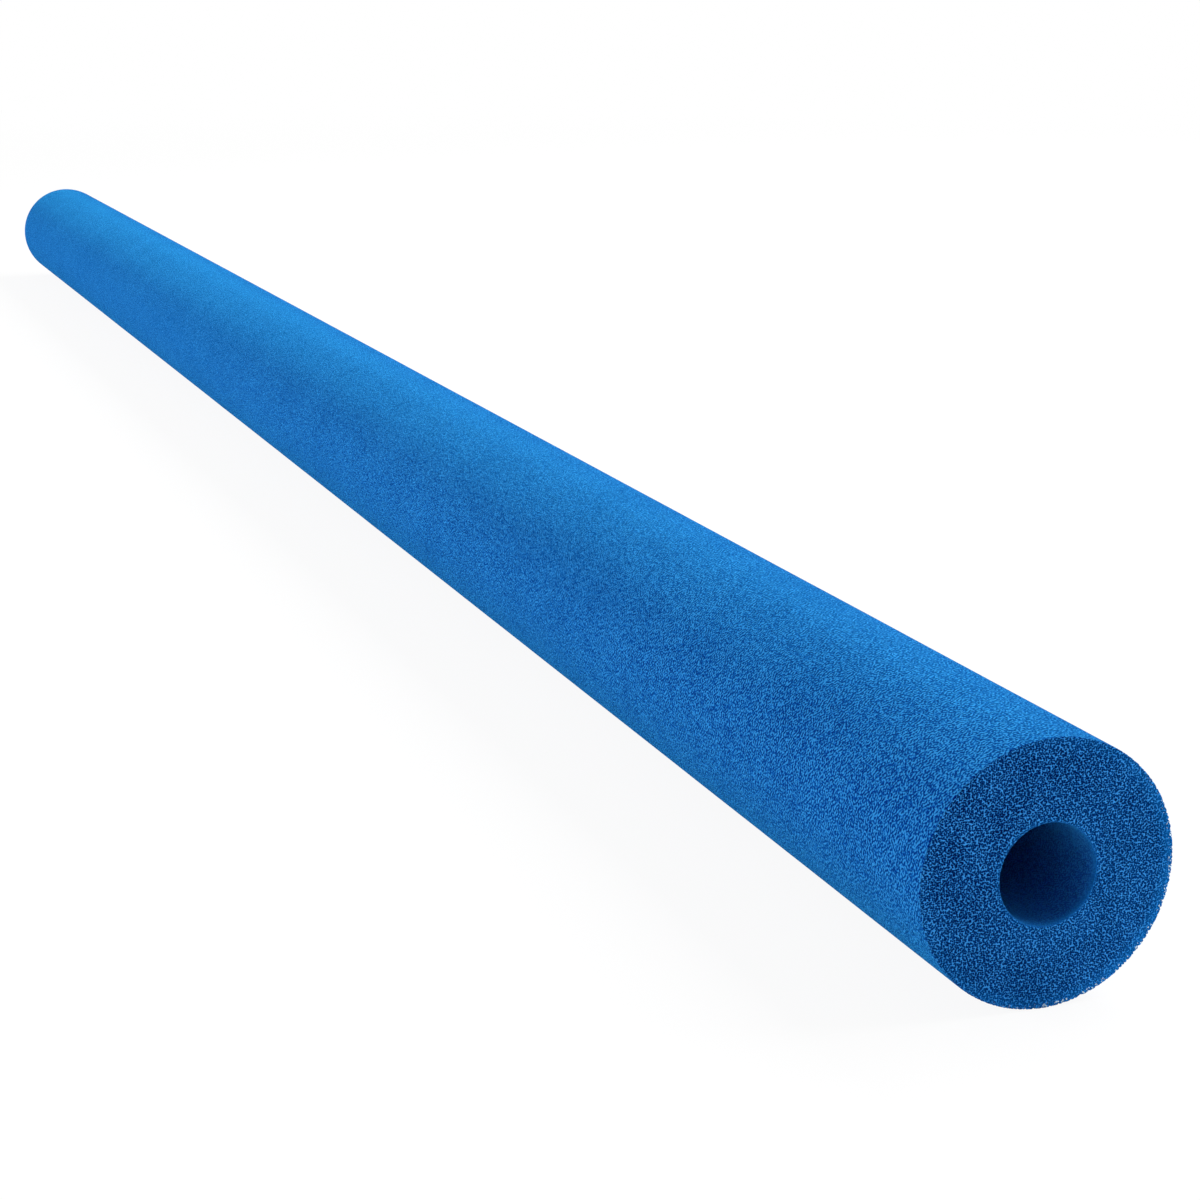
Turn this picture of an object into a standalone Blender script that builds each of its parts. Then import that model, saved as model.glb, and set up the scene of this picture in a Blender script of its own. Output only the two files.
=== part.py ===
"""A pool noodle: one straight length of round foam tube, with a bore that runs right through it.

Metres, with +Z up. The tube lies along X, centred on the origin, and rests on the plane z = 0.
"""

import math

import bmesh
import bpy

# Driving dimensions
tube_length = 1.500
outer_diameter = 0.065
bore_diameter = 0.0247
outer_rim_radius = 0.0010
bore_rim_radius = 0.0006

# How finely the round shapes are cut. The facets go by fours, so that flats lie on all four sides.
facets_round = 64
steps_per_rim = 4
merge_distance = 0.00002
smooth_angle = math.radians(32)

# The foam's finish
foam_colour = (0.0105, 0.1580, 0.5450, 1.0)
foam_roughness = 0.86


def clear_scene():
    """Empties the scene, so that the script starts from nothing."""
    for thing in list(bpy.data.objects):
        bpy.data.objects.remove(thing)


def foam():
    """Closed-cell foam with a matt skin, dyed blue all the way through."""
    material = bpy.data.materials.new("blue_foam")
    material.use_nodes = True
    shader = material.node_tree.nodes["Principled BSDF"]
    shader.inputs["Base Color"].default_value = foam_colour
    shader.inputs["Roughness"].default_value = foam_roughness
    shader.inputs["Metallic"].default_value = 0.0
    material.diffuse_color = foam_colour
    return material


def quarter_round(centre, radius, start_angle):
    """Points on a quarter circle that turns clockwise from start_angle, both ends included."""
    points = []
    for step in range(steps_per_rim + 1):
        angle = start_angle - math.pi / 2 * step / steps_per_rim
        across = centre[0] + radius * math.cos(angle)
        along = centre[1] + radius * math.sin(angle)
        points.append((across, along))
    return points


def tube_outline():
    """Half of the tube's lengthwise section, as (distance from the axis, place along it).

    It starts at the top of the outer wall, runs down it, in over the lower cut face, up the bore
    and out over the upper cut face. Each of the four rims is a quarter round.
    """
    wall = outer_diameter / 2
    bore = bore_diameter / 2
    end = tube_length / 2
    outer_centre = wall - outer_rim_radius
    bore_centre = bore + bore_rim_radius
    points = []
    points += quarter_round((outer_centre, outer_rim_radius - end), outer_rim_radius, 0)
    points += quarter_round((bore_centre, bore_rim_radius - end), bore_rim_radius, -math.pi / 2)
    points += quarter_round((bore_centre, end - bore_rim_radius), bore_rim_radius, math.pi)
    points += quarter_round((outer_centre, end - outer_rim_radius), outer_rim_radius, math.pi / 2)
    return points[-1:] + points[:-1]


def turned_solid(name, outline):
    """Turns a closed outline once round Z. The flats, not the corners, lie at the outline's radius."""
    corner_stretch = 1 / math.cos(math.pi / facets_round)
    build = bmesh.new()
    corners = [build.verts.new((across * corner_stretch, 0, along)) for across, along in outline]
    for start, end in zip(corners, corners[1:] + corners[:1]):
        build.edges.new((start, end))
    section = bpy.data.meshes.new(name + "_section")
    build.to_mesh(section)
    build.free()
    blank = bpy.data.objects.new(name + "_blank", section)
    bpy.context.scene.collection.objects.link(blank)
    turn = blank.modifiers.new("turn", "SCREW")
    turn.axis = "Z"
    turn.angle = math.tau
    turn.steps = facets_round
    turn.render_steps = facets_round
    turn.use_merge_vertices = True
    turn.merge_threshold = merge_distance
    bpy.context.view_layer.update()
    solid = bpy.data.meshes.new_from_object(
        blank.evaluated_get(bpy.context.evaluated_depsgraph_get())
    )
    bpy.data.objects.remove(blank)
    solid.name = name
    solid.shade_smooth()
    solid.set_sharp_from_angle(angle=smooth_angle)
    return solid


def foam_tube():
    """The whole noodle. It is laid along X and turned by half a facet, so that it rests on a flat."""
    mesh = turned_solid("foam_tube", tube_outline())
    mesh.materials.append(foam())
    tube = bpy.data.objects.new("foam_tube", mesh)
    tube.rotation_mode = "ZYX"
    tube.rotation_euler = (0, math.pi / 2, math.pi / facets_round)
    tube.location = (0, 0, outer_diameter / 2)
    return tube


def build_noodle():
    """Puts the one piece into a collection named for the object."""
    clear_scene()
    noodle = bpy.data.collections.new("pool_noodle")
    bpy.context.scene.collection.children.link(noodle)
    noodle.objects.link(foam_tube())


build_noodle()
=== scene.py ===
"""The looks of a pool noodle: one length of blue closed-cell foam tube, cut square at both ends.

The tube lies along X. Its skin is matt and finely pebbled, its cut ends show open cells, and the
bore runs right through it. Lengths are in metres.
"""

import math

import bpy
import numpy as np
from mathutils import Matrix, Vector


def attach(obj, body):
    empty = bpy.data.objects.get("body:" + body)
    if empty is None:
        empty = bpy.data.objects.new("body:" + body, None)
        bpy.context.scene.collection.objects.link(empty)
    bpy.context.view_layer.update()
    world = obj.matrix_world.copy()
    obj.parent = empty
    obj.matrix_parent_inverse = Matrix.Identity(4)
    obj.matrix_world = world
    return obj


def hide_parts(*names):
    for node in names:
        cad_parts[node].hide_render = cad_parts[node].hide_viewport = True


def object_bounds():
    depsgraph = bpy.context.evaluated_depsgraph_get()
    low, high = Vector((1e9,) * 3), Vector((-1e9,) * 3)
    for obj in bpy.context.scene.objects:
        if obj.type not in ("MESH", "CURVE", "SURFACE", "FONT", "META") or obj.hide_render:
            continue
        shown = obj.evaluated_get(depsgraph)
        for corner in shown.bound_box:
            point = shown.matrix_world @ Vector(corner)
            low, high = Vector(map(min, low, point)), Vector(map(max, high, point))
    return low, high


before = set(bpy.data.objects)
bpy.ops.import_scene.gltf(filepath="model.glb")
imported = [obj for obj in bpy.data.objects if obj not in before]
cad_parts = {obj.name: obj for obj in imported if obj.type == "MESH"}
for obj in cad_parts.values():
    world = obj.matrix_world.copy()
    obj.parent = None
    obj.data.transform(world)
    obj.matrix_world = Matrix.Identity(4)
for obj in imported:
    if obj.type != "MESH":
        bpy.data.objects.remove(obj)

cad_low, cad_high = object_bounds()

# The tube's size, as the solid that it stands for has it
tube_node = "foam_tube"
half_length = (cad_high.x - cad_low.x) / 2
axis_height = (cad_high.z + cad_low.z) / 2
wall_radius = (cad_high.z - cad_low.z) / 2
bore_radius = min(
    math.hypot(point.co.y, point.co.z - axis_height)
    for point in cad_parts[tube_node].data.vertices
)

# The rounding of the cut edges, outside and at the bore
outer_rim_radius = 0.00035
bore_rim_radius = 0.0004

# The spacing of the mesh: fine where cells are cut open, coarse along the plain walls
fine_spacing = 0.00028
wall_ring_spacing = 0.020
wall_point_spacing = 0.0017
spacing_growth = 1.3
fewest_rim_steps = 3

# How far a ring's points are turned on from the last ring's, and how far each strays, in steps
golden_share = 0.618034
jitter_share = 0.18
seed = 7

# The surface laid flat: the skin in three lengths above each other, and beside them the bore, then
# the back and front cut ends. Each area is its left, its bottom, its width and its height.
flat_map = "OFBake"
skin_lengths = 3
skin_area = (0.002, 0.002, 0.786, 0.996)
bore_area = (0.796, 0.414, 0.202, 0.584)
back_end_area = (0.796, 0.208, 0.202, 0.202)
front_end_area = (0.796, 0.002, 0.202, 0.202)
used_share = 0.97

# The cells that the knife opened: their width, how far they dip, how they vary, the levels of the
# pattern at the bottom of a cell and at the top of its walls, and how far the pattern slides for
# each length along the tube, so that the two ends differ
cell_size = 0.00050
cell_depth = 0.00035
cell_disorder = 0.8
cell_crumb_size = 0.00036
cell_crumb_share = 0.6
cell_levels = (0.55, 0.99)
end_shift = 0.2

# The side of the cut ends that the knife left last, as an angle up from Y. Light is painted on
# that side as a paler blue of shut cells.
knife_and_painted_light_side = math.radians(-35)

# How far cells are pressed shut on that side, all over and besides towards the rim, and how far
# they are shut at the bore's lip. On that side their paler blue is also painted light, where the
# face and rim catch light.
pressed_and_painted_light_share = 0.10
pressed_and_painted_light_rim_share = 0.48
pressed_and_painted_light_width = 0.0045
lip_share = 0.18
lip_width = 0.0018

# The notches torn in the rim on that side. They are deepest this near to the skin and to the end.
notch_size = 0.0008
notch_stretch = 5.0
notch_levels = (0.30, 0.55)
notch_depth = 0.00045
notch_width = 0.0012
deepest_width = 0.0002
notch_length = 0.0025
deepest_length = 0.0004

# The pale shreds of thin cell wall that hang on beside the notches
shred_size = 0.00055
shred_bit_share = 0.7
shred_patch_size = 0.0024
shred_patch_share = 0.3
shred_levels = (0.625, 0.665)
shred_width = 0.0014
shred_inner_share = 0.6
shred_side_levels = (0.55, 0.90)
shred_colour = (0.75, 0.92, 1.0, 1.0)

# The skin's grain, drawn out along the tube by the die: its ridges, streaks and crumbs
grain_size = 0.0012
grain_waves = 1.5
grain_order = 0.4
grain_stretch = 1.4
streak_size = 0.00046
streak_stretch = 4.0
streak_share = 0.45
crumb_size = 0.00040
crumb_share = 0.5
grain_levels = (0.790, 1.150)
grain_height = 0.00018

# The slow waves of the walls
wave_size = 0.05
wave_depth = 0.00008

# Turns that set each noise's own grid askew
streak_turn = (0.7, 0.9, 0.4)
crumb_turn = (1.3, 0.2, 0.9)
cell_crumb_turn = (0.7, 0.9, 0.4)
shred_turn = (0.4, 0.3, 1.1)
shred_patch_turn = (1.2, 0.6, 0.1)

# The foam's colours, from down in a crease or a cell to the tops, and how far they vary in patches.
# The dark ends are painted shade down in the creases and cells, besides the foam's own tone.
skin_blues_and_painted_crease_shade = (
    (0.0, (0.0000, 0.000, 0.140, 1.0)),
    (0.5, (0.0000, 0.058, 0.350, 1.0)),
    (1.0, (0.0310, 0.252, 0.660, 1.0)),
)
cell_blues_and_painted_pit_shade = (
    (0.0, (0.0000, 0.000, 0.060, 1.0)),
    (0.5, (0.0010, 0.074, 0.360, 1.0)),
    (1.0, (0.0500, 0.330, 0.860, 1.0)),
)
lowest_stop = 0.05
stop_range = 0.9
mottle_size = 0.035
mottle_share = 0.2
patch_size = 0.009
patch_share = 0.4
# A paler blue of shut cells, which on the knife's side and at the bore's mouth is painted light
pressed_and_painted_light_blue = (0.0050, 0.170, 0.580, 1.0)

# The bore's colour, its smoother grain, and painted light: a paler blue at its mouth on the
# knife's side
bore_blue = (0.0080, 0.080, 0.385, 1.0)
bore_blue_share = 0.55
bore_smooth_share = 0.5
painted_mouth_light_length = 0.004
painted_mouth_light_share = 0.6

# Where skin turns into cut foam round the rim, and the share of the cells' depth that shading adds
cut_levels = (0.15, 0.75)
cell_bump_share = 0.3

# The foam's dullness, and its fine fuzz, which glows where the round of the tube turns away
foam_roughness = 0.9
fuzz_share = 0.4
fuzz_roughness = 0.5
edge_glow_blue = (0.045, 0.58, 1.0, 1.0)

# The light: the share that comes from all round, and the soft lamps. Each lamp is its name, its
# place, the spot that it is aimed at, its width and height, and its power.
world_light = 0.42
lamps = (
    ("overhead_softbox", (0.1, 1.5, 1.8), (0.1, 0.0, 0.0), (2.6, 1.0), 64.0),
    ("back_softbox", (0.0, 1.8, 0.7), (0.0, 0.0, 0.03), (3.0, 0.6), 32.0),
    ("side_softbox", (-0.6, -1.8, 0.5), (-0.2, 0.0, 0.0), (2.0, 0.7), 25.0),
    ("near_softbox", (0.5, -1.8, 0.5), (0.3, 0.0, 0.0), (1.4, 0.7), 5.0),
)

# The floor: its paper, and the share of plain white that is seen in the paper's place, which rises
# to all of it between two distances
plain_white = (1.0, 1.0, 1.0, 1.0)
paper_white = (0.92, 0.92, 0.92, 1.0)
floor_size = 60
floor_glow = 0.92
glow_distances = (0.9, 3.0)

# The camera stands by the near end, a little above it and to its side
camera_place = (1.2144, -0.2769, 0.2315)
camera_azimuth = math.radians(70.0)
camera_drop = math.radians(14.252)
camera_lens = 74.897
camera_nearest = 0.05
camera_farthest = 200


def graded(length, first, last):
    """Places from 0 to length, with a spacing that grows from first to last."""
    places = [0.0]
    step = first
    while places[-1] < length:
        places.append(places[-1] + step)
        step = min(step * spacing_growth, last)
    return np.array(places) * length / places[-1]


def quarter_arc(radius):
    """Angles along a quarter round of that radius, from 0 to a right angle, at the fine spacing."""
    steps = max(fewest_rim_steps, math.ceil(math.pi / 2 * radius / fine_spacing))
    return np.linspace(0, math.pi / 2, steps + 1)


def half_section():
    """The rings of the tube's front half, from the middle of the skin to the middle of the bore.

    Each row is a ring's place along the tube, its radius, and how much of it is cut foam.
    """
    rows = []
    skin_end = half_length - outer_rim_radius
    for back in graded(skin_end, fine_spacing, wall_ring_spacing)[::-1]:
        rows.append((skin_end - back, wall_radius, 0.0))
    for turn in quarter_arc(outer_rim_radius)[1:]:
        along = skin_end + outer_rim_radius * math.sin(turn)
        across = wall_radius - outer_rim_radius + outer_rim_radius * math.cos(turn)
        rows.append((along, across, turn / (math.pi / 2)))
    face_outside = wall_radius - outer_rim_radius
    face_inside = bore_radius + bore_rim_radius
    steps = math.ceil((face_outside - face_inside) / fine_spacing)
    for across in np.linspace(face_outside, face_inside, steps + 1)[1:]:
        rows.append((half_length, across, 1.0))
    bore_end = half_length - bore_rim_radius
    for turn in quarter_arc(bore_rim_radius)[1:]:
        along = bore_end + bore_rim_radius * math.cos(turn)
        across = face_inside - bore_rim_radius * math.sin(turn)
        rows.append((along, across, 1.0 - turn / (math.pi / 2)))
    for back in graded(bore_end, fine_spacing, wall_ring_spacing)[1:]:
        rows.append((bore_end - back, bore_radius, 0.0))
    return np.array(rows)


def whole_section():
    """The rings all the way round the tube's wall: the front half, then its mirror image."""
    front = half_section()
    back = front[::-1][1:-1] * (-1, 1, 1)
    return np.concatenate([front, back])


def ring_angles(section, random):
    """The angles of each ring's points, rising from 0, with neighbouring rings out of step."""
    after = np.roll(section, -1, axis=0)
    gaps = np.hypot(after[:, 0] - section[:, 0], after[:, 1] - section[:, 1])
    gaps = np.maximum(gaps, np.roll(gaps, 1))
    spacing = np.clip(gaps, fine_spacing, wall_point_spacing)
    rings = []
    for number, (radius, step) in enumerate(zip(section[:, 1], spacing)):
        count = round(math.tau * radius / step)
        places = np.arange(count) + number * golden_share % 1
        places = places + random.uniform(-jitter_share, jitter_share, count)
        rings.append(np.sort(places * math.tau / count % math.tau))
    return rings


def zipped(near, far):
    """Triangles between two rings of points, from their rising angles. The far points come last."""
    order = np.argsort(np.concatenate([near, far]), kind="stable")
    is_near = order < len(near)
    last_near = (np.cumsum(is_near) - 1) % len(near)
    last_far = (np.cumsum(~is_near) - 1) % len(far)
    at = order[is_near]
    on_near = np.stack([(at - 1) % len(near), at, len(near) + last_far[is_near]], 1)
    at = order[~is_near] - len(near)
    on_far = np.stack([len(near) + at, len(near) + (at - 1) % len(far), last_near[~is_near]], 1)
    return np.concatenate([on_near, on_far])


def on_area(area, right, up):
    """Places on one area of the flat map, from two shares that run from 0 to 1."""
    left, bottom, width, height = area
    right = 0.5 + (right - 0.5) * used_share
    up = 0.5 + (up - 0.5) * used_share
    return np.stack([left + width * right, bottom + height * up], 2)


def laid_flat(along, across, angles, is_cut):
    """The flat map's places for the corners of the triangles between two rings."""
    is_inside = across.mean() < (wall_radius + bore_radius) / 2
    if is_cut:
        behind = half_length - np.abs(along)
        reach = across - behind if is_inside else across + behind
        reach = reach / (wall_radius + outer_rim_radius)
        area = front_end_area if along.mean() > 0 else back_end_area
        return on_area(area, 0.5 + reach * np.cos(angles) / 2, 0.5 + reach * np.sin(angles) / 2)
    crosses_seam = np.ptp(angles, 1, keepdims=True) > math.pi
    turns = (angles + math.tau * (crosses_seam & (angles < math.pi))) / math.tau
    lengthwise = (along / half_length + 1) / 2
    if is_inside:
        return on_area(bore_area, turns, lengthwise)
    length = int(lengthwise.mean() * skin_lengths)
    left, bottom, width, height = skin_area
    height = height / skin_lengths
    area = (left, bottom + length * height, width, height)
    return on_area(area, lengthwise * skin_lengths - length, turns)


def tube_mesh():
    """The tube as rings of points, zipped together into one closed skin."""
    random = np.random.default_rng(seed)
    section = whole_section()
    rings = ring_angles(section, random)
    counts = np.array([len(ring) for ring in rings])
    firsts = np.concatenate([[0], np.cumsum(counts)[:-1]])
    angles = np.concatenate(rings)
    along, across, cut = np.repeat(section, counts, axis=0).T
    points = np.stack(
        [along, across * np.cos(angles), axis_height + across * np.sin(angles)], 1
    )
    faces = []
    flat = []
    for number in range(len(rings)):
        after = (number + 1) % len(rings)
        corners = zipped(rings[number], rings[after])
        is_near = corners < counts[number]
        band = np.where(is_near, corners + firsts[number], corners - counts[number] + firsts[after])
        is_cut = section[number, 2] + section[after, 2] > 0
        faces.append(band)
        flat.append(laid_flat(along[band], across[band], angles[band], is_cut))
    mesh = bpy.data.meshes.new("foam_tube_mesh")
    mesh.from_pydata(points, [], np.concatenate(faces))
    mesh.shade_smooth()
    spread = mesh.uv_layers.new(name=flat_map)
    spread.data.foreach_set("uv", np.concatenate(flat).astype(np.float32).ravel())
    rest = mesh.attributes.new("rest_place", "FLOAT_VECTOR", "POINT")
    rest.data.foreach_set("vector", points.astype(np.float32).ravel())
    share = mesh.attributes.new("cut_share", "FLOAT", "POINT")
    share.data.foreach_set("value", cut.astype(np.float32))
    inside = mesh.attributes.new("bore_share", "FLOAT", "POINT")
    in_bore = across < bore_radius + bore_rim_radius
    inside.data.foreach_set("value", in_bore.astype(np.float32))
    return mesh


class Socket:
    """A node's output that stands in a sum: each sum on it adds its Math node."""

    def __init__(self, tree, output):
        self.tree = tree
        self.output = output

    def __add__(self, other):
        return self.tree.math("ADD", self, other)

    __radd__ = __add__

    def __sub__(self, other):
        return self.tree.math("SUBTRACT", self, other)

    def __rsub__(self, other):
        return self.tree.math("SUBTRACT", other, self)

    def __mul__(self, other):
        return self.tree.math("MULTIPLY", self, other)

    __rmul__ = __mul__

    def __truediv__(self, other):
        return self.tree.math("DIVIDE", self, other)

    def __rtruediv__(self, other):
        return self.tree.math("DIVIDE", other, self)

    def other(self, name):
        """Another output of the same node."""
        return Socket(self.tree, self.output.node.outputs[name])


class Tree:
    """Adds nodes to a node tree, such as a finish's shader or a relief's geometry."""

    def __init__(self, nodes):
        self.nodes = nodes

    def node(self, kind, settings, inputs, output=0):
        """A node of that kind: its settings are set first, then its sockets."""
        made = self.nodes.nodes.new(kind)
        for name, value in settings.items():
            if name == "stops":
                self.set_stops(made.color_ramp, value)
            else:
                setattr(made, name, value)
        for name, value in inputs.items():
            socket = self.find(made.inputs, name)
            if isinstance(value, Socket):
                self.nodes.links.new(value.output, socket)
            else:
                socket.default_value = value
        return Socket(self, self.find(made.outputs, output)) if made.outputs else None

    @staticmethod
    def set_stops(ramp, stops):
        """Gives a ramp its stops, each a place and a colour, first to last."""
        while len(ramp.elements) < len(stops):
            ramp.elements.new(0.5)
        for element, (place, colour) in zip(ramp.elements, stops):
            element.position = place
            element.color = colour

    @staticmethod
    def find(sockets, name):
        """The socket of that number, identifier or name."""
        if isinstance(name, int):
            return sockets[name]
        for socket in sockets:
            if socket.identifier == name:
                return socket
        return sockets[name]

    def math(self, operation, *values):
        """A Math node on those values."""
        inputs = dict(enumerate(values))
        return self.node("ShaderNodeMath", {"operation": operation}, inputs)

    def ease(self, value, low, high):
        """0 below low and 1 above high, with a smooth rise between them."""
        return self.node(
            "ShaderNodeMapRange",
            {"interpolation_type": "SMOOTHSTEP"},
            {"Value": value, "From Min": low, "From Max": high},
        )

    def ramp(self, value, stops):
        """The colour of a run of stops at that value."""
        return self.node("ShaderNodeValToRGB", {"stops": stops}, {"Fac": value}, "Color")

    def turned(self, place, angles):
        """The place turned about the origin."""
        return self.node(
            "ShaderNodeVectorRotate",
            {"rotation_type": "EULER_XYZ"},
            {"Vector": place, "Rotation": angles},
        )

    def noise(self, place, size, detail):
        """Cloudy noise from 0 to 1, with features of that size."""
        return self.node(
            "ShaderNodeTexNoise",
            {"noise_dimensions": "3D"},
            {"Vector": place, "Scale": 1 / size, "Detail": detail, "Roughness": 0.5},
        )

    def winding(self, flat, size):
        """Short winding ridges on a flat place, from 0 to 1 about a half."""
        return self.node(
            "ShaderNodeTexGabor",
            {"gabor_type": "2D"},
            {
                "Vector": flat,
                "Scale": 1 / size,
                "Frequency": grain_waves,
                "Anisotropy": grain_order,
                "Orientation 2D": 0.0,
            },
        )

    def blend(self, share, first, second):
        """A colour between two colours."""
        return self.node(
            "ShaderNodeMix",
            {"data_type": "RGBA"},
            {"Factor_Float": share, "A_Color": first, "B_Color": second},
            "Result_Color",
        )


def rolled_flat(tree, place, stretch):
    """A place on the wall as if it were slit underneath and rolled out as a flat, shortened sheet.

    Patterns on the sheet are stretched along the tube. The second value is the real place along it.
    """
    along = tree.node("ShaderNodeSeparateXYZ", {}, {"Vector": place}, "X")
    upward = along.other("Z") - axis_height
    around = tree.math("ARCTAN2", along.other("Y"), upward) * wall_radius
    sheet = tree.node("ShaderNodeCombineXYZ", {}, {"X": along / stretch, "Y": around})
    return sheet, along


def skin_grain(tree, place):
    """The skin's winding grain: 0 in its creases to 1 on its tops. It has a seam underneath."""
    sheet = rolled_flat(tree, place, grain_stretch)[0]
    ridges = tree.winding(sheet, grain_size)
    drawn = tree.node(
        "ShaderNodeVectorMath",
        {"operation": "MULTIPLY"},
        {0: place, 1: (1 / streak_stretch, 1.0, 1.0)},
    )
    streaks = tree.noise(tree.turned(drawn, streak_turn), streak_size, 0.0)
    crumbs = tree.noise(tree.turned(place, crumb_turn), crumb_size, 0.0)
    return tree.ease(ridges + streaks * streak_share + crumbs * crumb_share, *grain_levels)


def around_axis(tree, place):
    """A place's distance from the tube's axis, and how far it is to the knife's side, where light
    is painted, 0 to 1.
    """
    sideways = tree.node("ShaderNodeSeparateXYZ", {}, {"Vector": place}, "Y")
    upward = sideways.other("Z") - axis_height
    radius = tree.math("SQRT", sideways * sideways + upward * upward)
    towards = sideways * math.cos(knife_and_painted_light_side) + upward * math.sin(knife_and_painted_light_side)
    return radius, 0.5 + 0.5 * towards / radius


def open_cells(tree, place):
    """The cut foam's cells: 0 down inside an open cell to 1 on the walls between cells."""
    along = tree.node("ShaderNodeSeparateXYZ", {}, {"Vector": place}, "X") * end_shift
    shift = tree.node("ShaderNodeCombineXYZ", {}, {"Y": along, "Z": along})
    shifted = tree.node("ShaderNodeVectorMath", {"operation": "ADD"}, {0: place, 1: shift})
    from_middle = tree.node(
        "ShaderNodeTexVoronoi",
        {"voronoi_dimensions": "2D", "feature": "F1"},
        {
            "Vector": tree.turned(shifted, (0.0, math.pi / 2, 0.0)),
            "Scale": 1 / cell_size,
            "Randomness": cell_disorder,
        },
        "Distance",
    )
    crumbs = tree.noise(tree.turned(place, cell_crumb_turn), cell_crumb_size, 0.0)
    return tree.ease(from_middle + crumbs * cell_crumb_share, *cell_levels)


def shut_and_painted_light_share(tree, place):
    """How far a cut end's cells are shut: by the knife towards the rim, and at the bore's lip. On
    the knife's side this also paints light, a paler blue where the face and rim catch light.
    """
    radius, toward_knife_and_light = around_axis(tree, place)
    edge = tree.ease(radius, wall_radius - pressed_and_painted_light_width, wall_radius - outer_rim_radius)
    # Painted light: cells shut paler on the knife's side, over the face and more so at the rim
    pressed = (edge * pressed_and_painted_light_rim_share + pressed_and_painted_light_share) * toward_knife_and_light
    lip = 1.0 - tree.ease(radius, bore_radius + bore_rim_radius, bore_radius + lip_width)
    return tree.math("MAXIMUM", pressed, lip * lip_share)


def torn_rim(tree, place):
    """How deep the knife tore the rim at a place: notches that run a little way along the skin."""
    radius, toward_knife_and_light = around_axis(tree, place)
    sheet, along = rolled_flat(tree, place, notch_stretch)
    gaps = 1.0 - tree.ease(tree.winding(sheet, notch_size), *notch_levels)
    at_rim = tree.ease(radius, wall_radius - notch_width, wall_radius - deepest_width)
    at_end = tree.ease(
        tree.math("ABSOLUTE", along), half_length - notch_length, half_length - deepest_length
    )
    return gaps * at_rim * at_end * toward_knife_and_light * toward_knife_and_light * notch_depth


def torn_shreds(tree, place):
    """Where shreds of thin cell wall, pale from the tearing, hang on at the rim, from 0 to 1."""
    radius, toward_knife_and_light = around_axis(tree, place)
    at_rim = tree.ease(
        radius, wall_radius - shred_width, wall_radius - shred_width * shred_inner_share
    )
    bits = tree.noise(tree.turned(place, shred_turn), shred_size, 0.0)
    patches = tree.noise(tree.turned(place, shred_patch_turn), shred_patch_size, 0.0)
    shreds = tree.ease(bits * shred_bit_share + patches * shred_patch_share, *shred_levels)
    return shreds * at_rim * tree.ease(toward_knife_and_light, *shred_side_levels)


def foam_relief():
    """Cuts cells, slow waves and a torn rim into the tube's mesh, in from its smooth surface."""
    group = bpy.data.node_groups.new("foam_relief", "GeometryNodeTree")
    group.interface.new_socket("Geometry", in_out="INPUT", socket_type="NodeSocketGeometry")
    group.interface.new_socket("Geometry", in_out="OUTPUT", socket_type="NodeSocketGeometry")
    tree = Tree(group)
    whole = tree.node("NodeGroupInput", {}, {})
    place = tree.node("GeometryNodeInputPosition", {}, {})
    outward = tree.node("GeometryNodeInputNormal", {}, {})
    cut = tree.node(
        "GeometryNodeInputNamedAttribute", {"data_type": "FLOAT"}, {"Name": "cut_share"}
    )
    waves = tree.noise(place, wave_size, 1.0) * wave_depth
    pits = (1.0 - open_cells(tree, place)) * (1.0 - shut_and_painted_light_share(tree, place))
    dips = tree.node(
        "ShaderNodeVectorMath",
        {"operation": "SCALE"},
        {"Vector": outward, "Scale": waves + pits * cut * cell_depth},
    )
    to_axis = tree.node(
        "ShaderNodeVectorMath",
        {"operation": "MULTIPLY_ADD"},
        {0: place, 1: (0.0, -1.0, -1.0), 2: (0.0, 0.0, axis_height)},
    )
    torn = tree.node(
        "ShaderNodeVectorMath",
        {"operation": "SCALE"},
        {"Vector": to_axis, "Scale": torn_rim(tree, place) / wall_radius},
    )
    offset = tree.node("ShaderNodeVectorMath", {"operation": "SUBTRACT"}, {0: torn, 1: dips})
    moved = tree.node("GeometryNodeSetPosition", {}, {"Geometry": whole, "Offset": offset})
    tree.node("NodeGroupOutput", {}, {"Geometry": moved})
    return group


def skin_colour(tree, place, ridges, in_bore):
    """The skin's blue, with painted shade in its creases, blended to the bore's blue in the bore,
    and
    painted light: paler at the bore's mouth on the knife's side.
    """
    mottle = tree.noise(place, mottle_size, 2.0) - 0.5
    # Painted shade: the ramp's dark end darkens the creases, besides the grain's own tone
    colour = tree.ramp(ridges * stop_range + lowest_stop + mottle * mottle_share, skin_blues_and_painted_crease_shade)
    colour = tree.blend(in_bore * bore_blue_share, colour, bore_blue)
    along = tree.node("ShaderNodeSeparateXYZ", {}, {"Vector": place}, "X")
    # Painted light: the bore's mouth paler on the knife's side, where light falls into it
    mouth = tree.ease(tree.math("ABSOLUTE", along), half_length - painted_mouth_light_length, half_length)
    toward_knife_and_light = around_axis(tree, place)[1]
    return tree.blend(in_bore * mouth * toward_knife_and_light * toward_knife_and_light * painted_mouth_light_share, colour, pressed_and_painted_light_blue)


def cut_colour(tree, place, cells):
    """The cut ends' blue: dark down in cells as painted shade, paler where they are shut, which on
    the knife's side is painted light, and pale on shreds.
    """
    patches = tree.noise(place, patch_size, 2.0) - 0.5
    # Painted shade: the ramp's dark end darkens the open cells, besides the foam's own tone
    colour = tree.ramp(cells * stop_range + lowest_stop + patches * patch_share, cell_blues_and_painted_pit_shade)
    # Painted light: shut cells paler on the knife's side, where the face and rim catch light
    colour = tree.blend(shut_and_painted_light_share(tree, place), colour, pressed_and_painted_light_blue)
    return tree.blend(torn_shreds(tree, place), colour, shred_colour)


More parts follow.
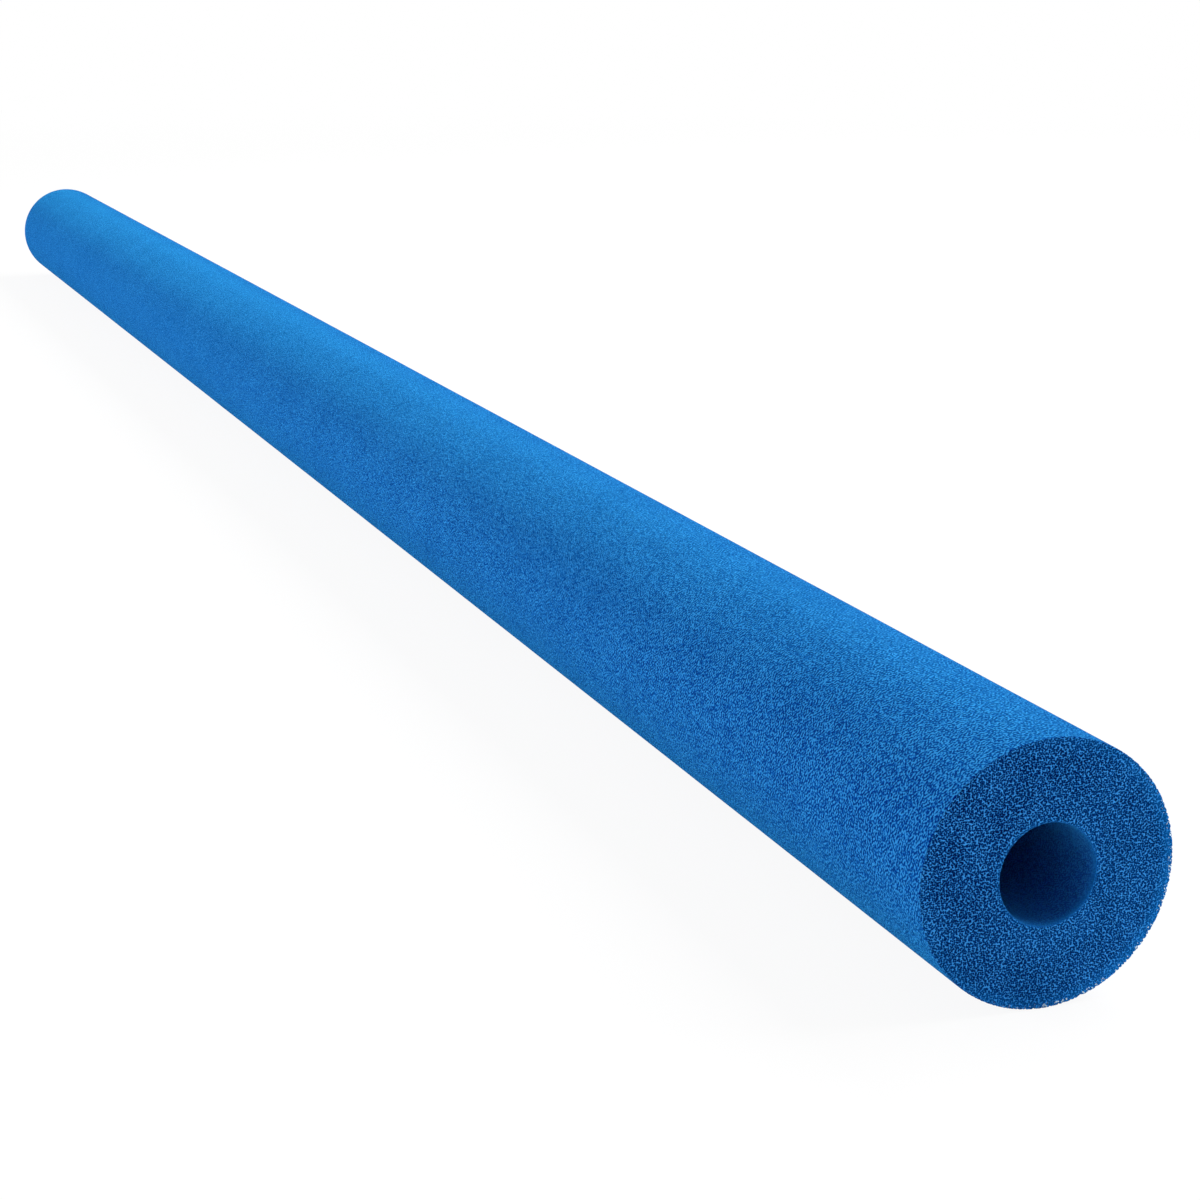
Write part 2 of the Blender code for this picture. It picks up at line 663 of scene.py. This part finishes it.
def foam_finish():
    """Blue closed-cell foam: a matt grained skin, and open cells where it is cut."""
    material = bpy.data.materials.new("blue_foam_finish")
    material.use_nodes = True
    material.node_tree.nodes.clear()
    tree = Tree(material.node_tree)
    place = tree.node("ShaderNodeAttribute", {"attribute_name": "rest_place"}, {}, "Vector")
    cut = tree.node("ShaderNodeAttribute", {"attribute_name": "cut_share"}, {}, "Fac")
    in_bore = tree.node("ShaderNodeAttribute", {"attribute_name": "bore_share"}, {}, "Fac")
    is_cut = tree.ease(cut, *cut_levels)
    ridges = skin_grain(tree, place)
    cells = open_cells(tree, place)
    skin = skin_colour(tree, place, ridges, in_bore)
    section = cut_colour(tree, place, cells)
    smooth = 1.0 - bore_smooth_share * in_bore
    skin_height = ridges * grain_height * smooth * (1.0 - is_cut)
    height = skin_height + cells * is_cut * cell_depth * cell_bump_share
    bump = tree.node("ShaderNodeBump", {}, {"Strength": 1.0, "Distance": 1.0, "Height": height})
    foam = tree.node(
        "ShaderNodeBsdfPrincipled",
        {},
        {
            "Base Color": tree.blend(is_cut, skin, section),
            "Normal": bump,
            "Roughness": foam_roughness,
            "Specular IOR Level": 0.0,
            "Sheen Weight": fuzz_share,
            "Sheen Roughness": fuzz_roughness,
            "Sheen Tint": edge_glow_blue,
        },
    )
    tree.node("ShaderNodeOutputMaterial", {}, {"Surface": foam})
    return material


def foam_tube():
    """The whole noodle, in one closed piece."""
    tube = bpy.data.objects.new("blue_foam_tube", tube_mesh())
    bpy.context.scene.collection.objects.link(tube)
    tube.data.materials.append(foam_finish())
    relief = tube.modifiers.new("foam_relief", "NODES")
    relief.node_group = foam_relief()
    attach(tube, "root")
    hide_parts(tube_node)


def seen_directly(tree):
    """1 where the camera, a mirror or glass sees a thing, and 0 where it only gives light."""
    camera_ray = tree.node("ShaderNodeLightPath", {}, {}, "Is Camera Ray")
    seen = camera_ray + camera_ray.other("Is Glossy Ray") + camera_ray.other("Is Transmission Ray")
    return tree.math("MINIMUM", seen, 1.0)


def studio_floor():
    """A wide pale floor that keeps a soft shadow of the tube and is white away from it."""
    bpy.ops.mesh.primitive_plane_add(size=floor_size)
    floor = bpy.context.object
    floor.name = "studio_floor"
    material = bpy.data.materials.new("pale_floor")
    material.use_nodes = True
    material.node_tree.nodes.clear()
    tree = Tree(material.node_tree)
    paper = tree.node("ShaderNodeBsdfDiffuse", {}, {"Color": paper_white})
    glow = tree.node("ShaderNodeEmission", {}, {"Color": plain_white, "Strength": 1.0})
    place = tree.node("ShaderNodeNewGeometry", {}, {}, "Position")
    away = tree.node("ShaderNodeVectorMath", {"operation": "LENGTH"}, {0: place}, "Value")
    share = floor_glow + (1.0 - floor_glow) * tree.ease(away, *glow_distances)
    share = seen_directly(tree) * share
    surface = tree.node("ShaderNodeMixShader", {}, {0: share, 1: paper, 2: glow})
    tree.node("ShaderNodeOutputMaterial", {}, {"Surface": surface})
    floor.data.materials.append(material)


def studio_light():
    """Even white light all round, and the soft lamps."""
    world = bpy.data.worlds.new("white_studio")
    bpy.context.scene.world = world
    world.use_nodes = True
    world.node_tree.nodes.clear()
    tree = Tree(world.node_tree)
    strength = world_light + seen_directly(tree) * (1.0 - world_light)
    sky = tree.node("ShaderNodeBackground", {}, {"Color": plain_white, "Strength": strength})
    tree.node("ShaderNodeOutputWorld", {}, {"Surface": sky})
    for name, place, aim, (width, height), power in lamps:
        lamp = bpy.data.lights.new(name, "AREA")
        lamp.shape = "RECTANGLE"
        lamp.size = width
        lamp.size_y = height
        lamp.energy = power
        softbox = bpy.data.objects.new(name, lamp)
        softbox.location = place
        towards = Vector(aim) - Vector(place)
        softbox.rotation_euler = towards.to_track_quat("-Z", "Y").to_euler()
        bpy.context.scene.collection.objects.link(softbox)


def photograph_camera():
    """The camera of the photograph, held level."""
    lens = bpy.data.cameras.new("camera")
    lens.lens = camera_lens
    lens.clip_start = camera_nearest
    lens.clip_end = camera_farthest
    camera = bpy.data.objects.new("camera", lens)
    camera.location = camera_place
    camera.rotation_euler = (math.pi / 2 - camera_drop, 0, camera_azimuth)
    bpy.context.scene.collection.objects.link(camera)
    bpy.context.scene.camera = camera


bpy.context.scene.view_settings.view_transform = "Standard"
photograph_camera()
foam_tube()
studio_floor()
studio_light()
